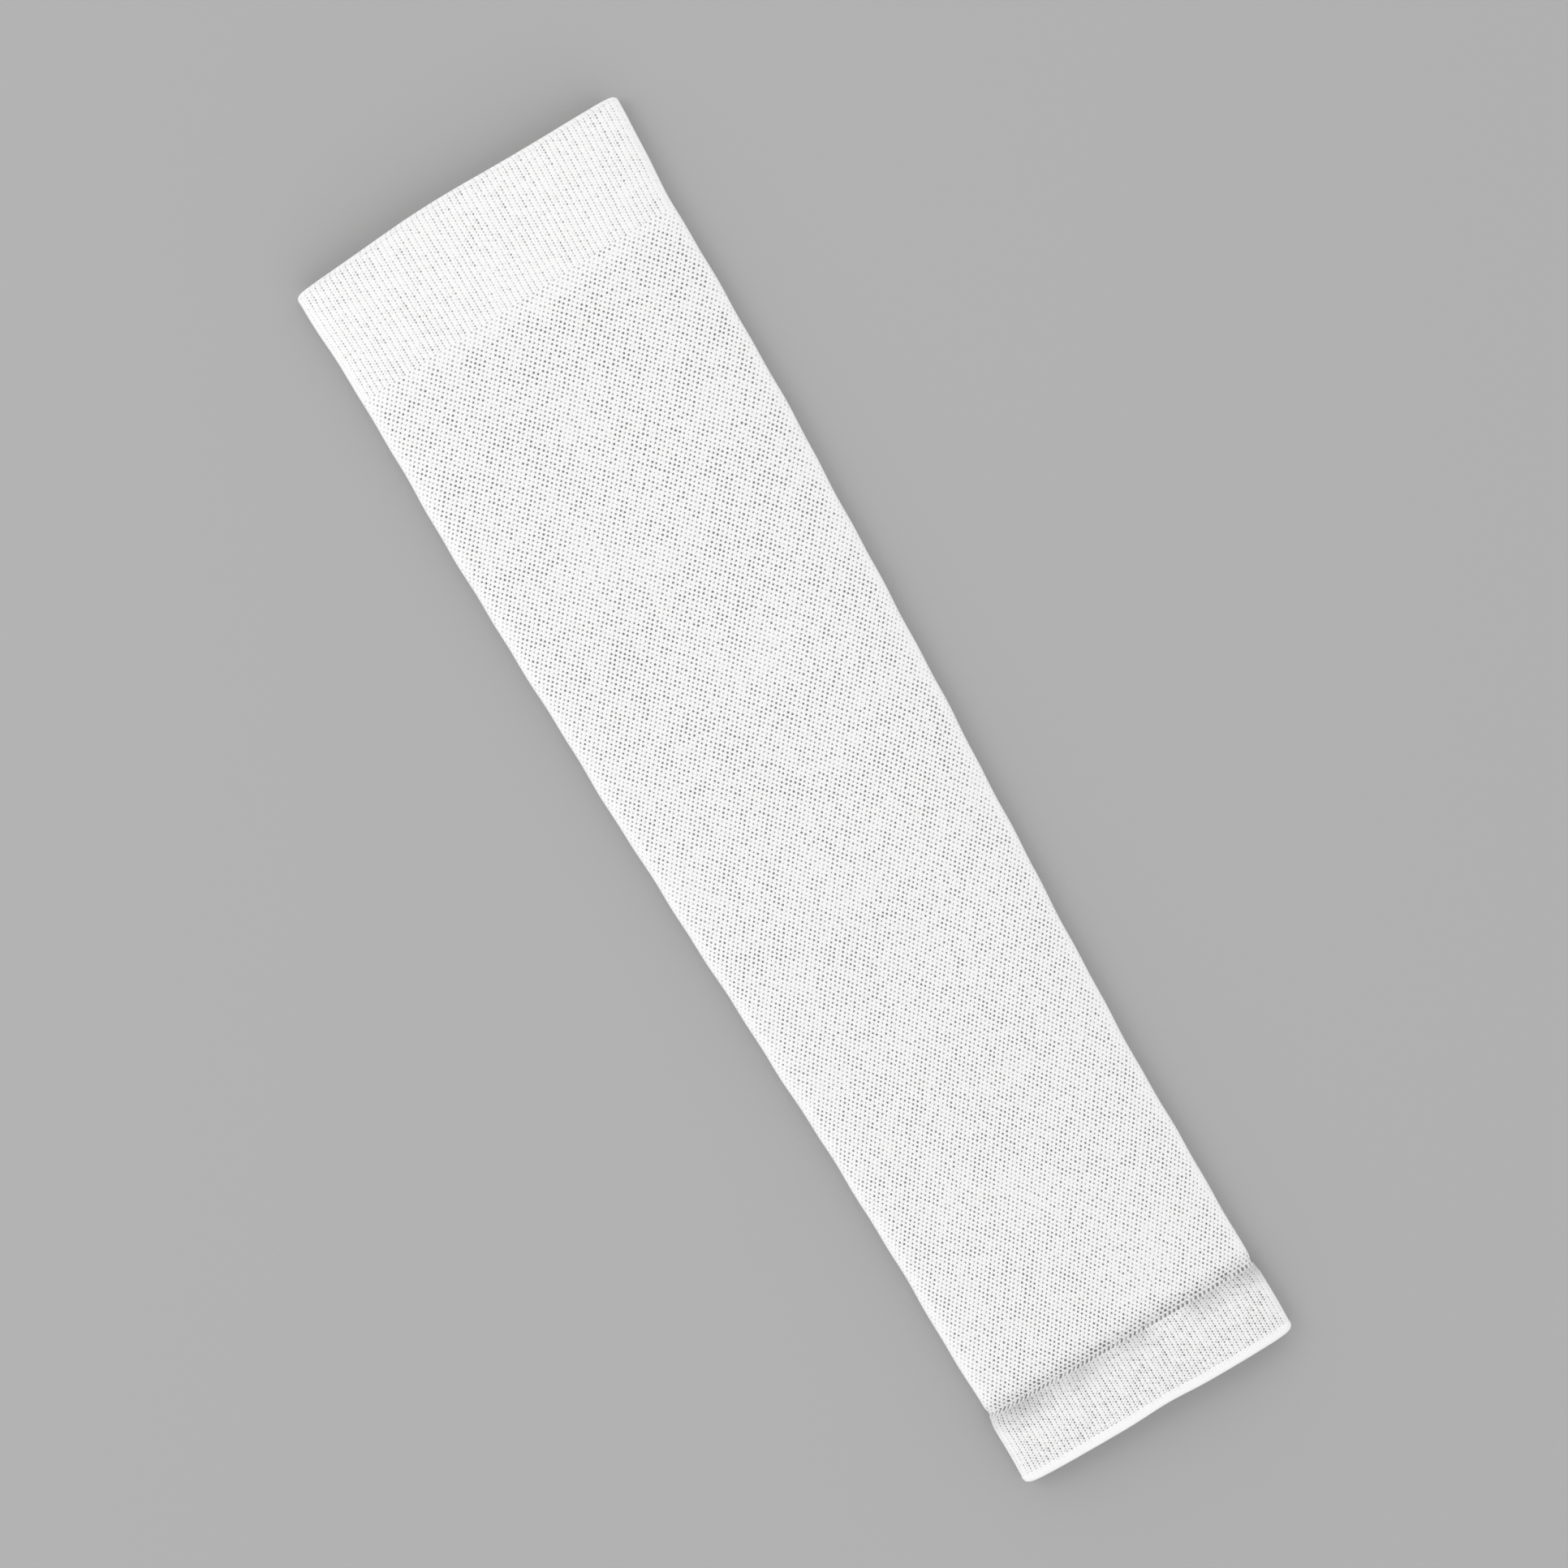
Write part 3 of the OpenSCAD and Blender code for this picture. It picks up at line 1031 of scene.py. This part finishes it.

# %% [markdown]
# ## The linking seam
#
# Body and wrist cuff are knitted apart and joined loop by loop with a thread. It lies down in the
# crease as a row of short slanted stitches, one to a wale, and between two stitches the eye falls
# into a dark gap. So the band's outer side is raised at each stitch and sinks between them, and the
# gaps get painted shade.

# %% The linking stitches
STITCH_SLANT = 0.35
SEAM_HALF = 0.65 * MM
SEAM_INSET = 0.42 * MM
SEAM_THICKNESS = 0.42 * MM
seam_middle = sum(span("linking_seam")) / 2
gap_luck = np.random.default_rng(5).random(WALES)


def stitch_shape(wales, s):
    """1 on the crown of a stitch and 0 in the gap between two."""
    leaning = wales + STITCH_SLANT * (s - seam_middle) / SEAM_HALF
    return np.cos(math.pi * (leaning - np.round(leaning))) ** 2


def stitches(wales, s, turn):
    outside = smooth((turn - 0.45) / 0.1)
    return outside * (0.16 * MM * stitch_shape(wales + 0.5, s) - 0.18 * MM)


def stitch_gap_shade(wales, s, turn):
    """How much shade is painted at each place; no two gaps are quite the same."""
    luck = gap_luck[np.round(wales).astype(int) % WALES]
    return 0.3 + (0.4 + 0.7 * luck) * (1 - stitch_shape(wales + 0.5, s)) ** 2


def flat_profile(middle, half, inset, thickness, points=12):
    """A flat oval outline: out along the inside and back along the outside."""
    turns = 2 * math.pi * (np.arange(points) + 0.5) / points
    return [
        (middle - half * math.cos(t) * abs(math.cos(t)) ** -0.4,
         inset + thickness / 2 + thickness / 2 * math.sin(t) * abs(math.sin(t)) ** -0.4)
        for t in turns
    ]


seam = band_mesh(
    "linking_stitches",
    [flat_profile(seam_middle, SEAM_HALF, SEAM_INSET, SEAM_THICKNESS, 16)],
    8 * WALES, stitches, stitch_gap_shade,
)
finish_piece(seam, seam_thread, "seam_thread", "linking_seam")
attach(seam, "forearm")

# %% [markdown]
# ## The elastic yarns
#
# Both cuffs grip by a fine covered elastic that is laid in round and round. In the upper cuff it
# lies on the inside of the rib, where it shows through the open mouth; in the wrist cuff it is
# hidden between the layers. Each turn is a flat little band at the place where the frame has it.

# %% The elastic yarns of both cuffs
YARN_THICKNESS = 0.4 * MM
BETWEEN_RINGS = 1 * MM


def yarn_rings(name, node):
    """One flat band for each ring that the node holds, at the same place."""
    cloud = points_of(node)
    places = np.unique(UPPER_END - cloud[:, 1])
    turns = np.split(places, np.flatnonzero(np.diff(places) > BETWEEN_RINGS) + 1)
    inset = cloud[:, 2].min()
    profiles = [
        flat_profile((turn[0] + turn[-1]) / 2, (turn[-1] - turn[0]) / 2, inset, YARN_THICKNESS, 8)
        for turn in turns
    ]
    print(name, "has", len(profiles), "rings")
    return band_mesh(name, profiles, WALES, lambda wales, s, turn: 0 * wales, band_white)


upper_elastic = yarn_rings("upper_cuff_elastic_yarn", "upper_cuff_elastic")
finish_piece(upper_elastic, elastic_yarn, "elastic_yarn", "upper_cuff_elastic")
fold_over(upper_elastic)
wrist_elastic = yarn_rings("wrist_cuff_elastic_yarn", "wrist_cuff_elastic")
finish_piece(wrist_elastic, elastic_yarn, "elastic_yarn", "wrist_cuff_elastic")
fold_over(wrist_elastic)

# %% [markdown]
# ## Table and light
#
# White cloth is hard to light: too much, and the stitches burn out; too little, and it turns grey.
# A tent of even light all round suits it, a little stronger from the sides than from above, so that
# the turned-down sides of the sleeve stay as white as its top. One large soft lamp gives the relief
# its direction. The table is a plain mid grey, against which white stands out.

# %% Table, tent and lamp
TABLE_GREY = 0.426
SIDE_LIGHT = 1.46
TOP_LIGHT = 0.725

bpy.ops.mesh.primitive_plane_add(size=40, location=(0, 0, -0.0002))
table = bpy.context.object
table.name = "table"
table_finish = bpy.data.materials.new("table grey")
table_finish.use_nodes = True
table_shader = table_finish.node_tree.nodes["Principled BSDF"]
table_shader.inputs["Base Color"].default_value = (TABLE_GREY, TABLE_GREY, TABLE_GREY, 1)
table_shader.inputs["Roughness"].default_value = 1.0
table_shader.inputs["Specular IOR Level"].default_value = 0.0
table.data.materials.append(table_finish)

world = bpy.data.worlds.new("tent")
bpy.context.scene.world = world
world.use_nodes = True
sky = world.node_tree
towards = add_node(sky, "SeparateXYZ", Vector=Wire(sky, sky.nodes.new("ShaderNodeTexCoord").outputs["Generated"]))
rise_of_ray = Wire(sky, towards.outputs["Z"]).fade(0.0, 1.0)
level = rise_of_ray * (TOP_LIGHT - SIDE_LIGHT) + SIDE_LIGHT
feed(sky, sky.nodes["Background"].inputs["Strength"], level)
sky.nodes["Background"].inputs["Color"].default_value = (1, 1, 1, 1)

lamp = bpy.data.objects.new("soft lamp", bpy.data.lights.new("soft lamp", "AREA"))
lamp.data.size = 1.2
lamp.data.energy = 7.0
lamp.location = (-1.3, 0.9, 1.5)
lamp.rotation_euler = (-lamp.location).to_track_quat("-Z", "Y").to_euler()
bpy.context.scene.collection.objects.link(lamp)
print("tent light from the side and from above:", SIDE_LIGHT, TOP_LIGHT)
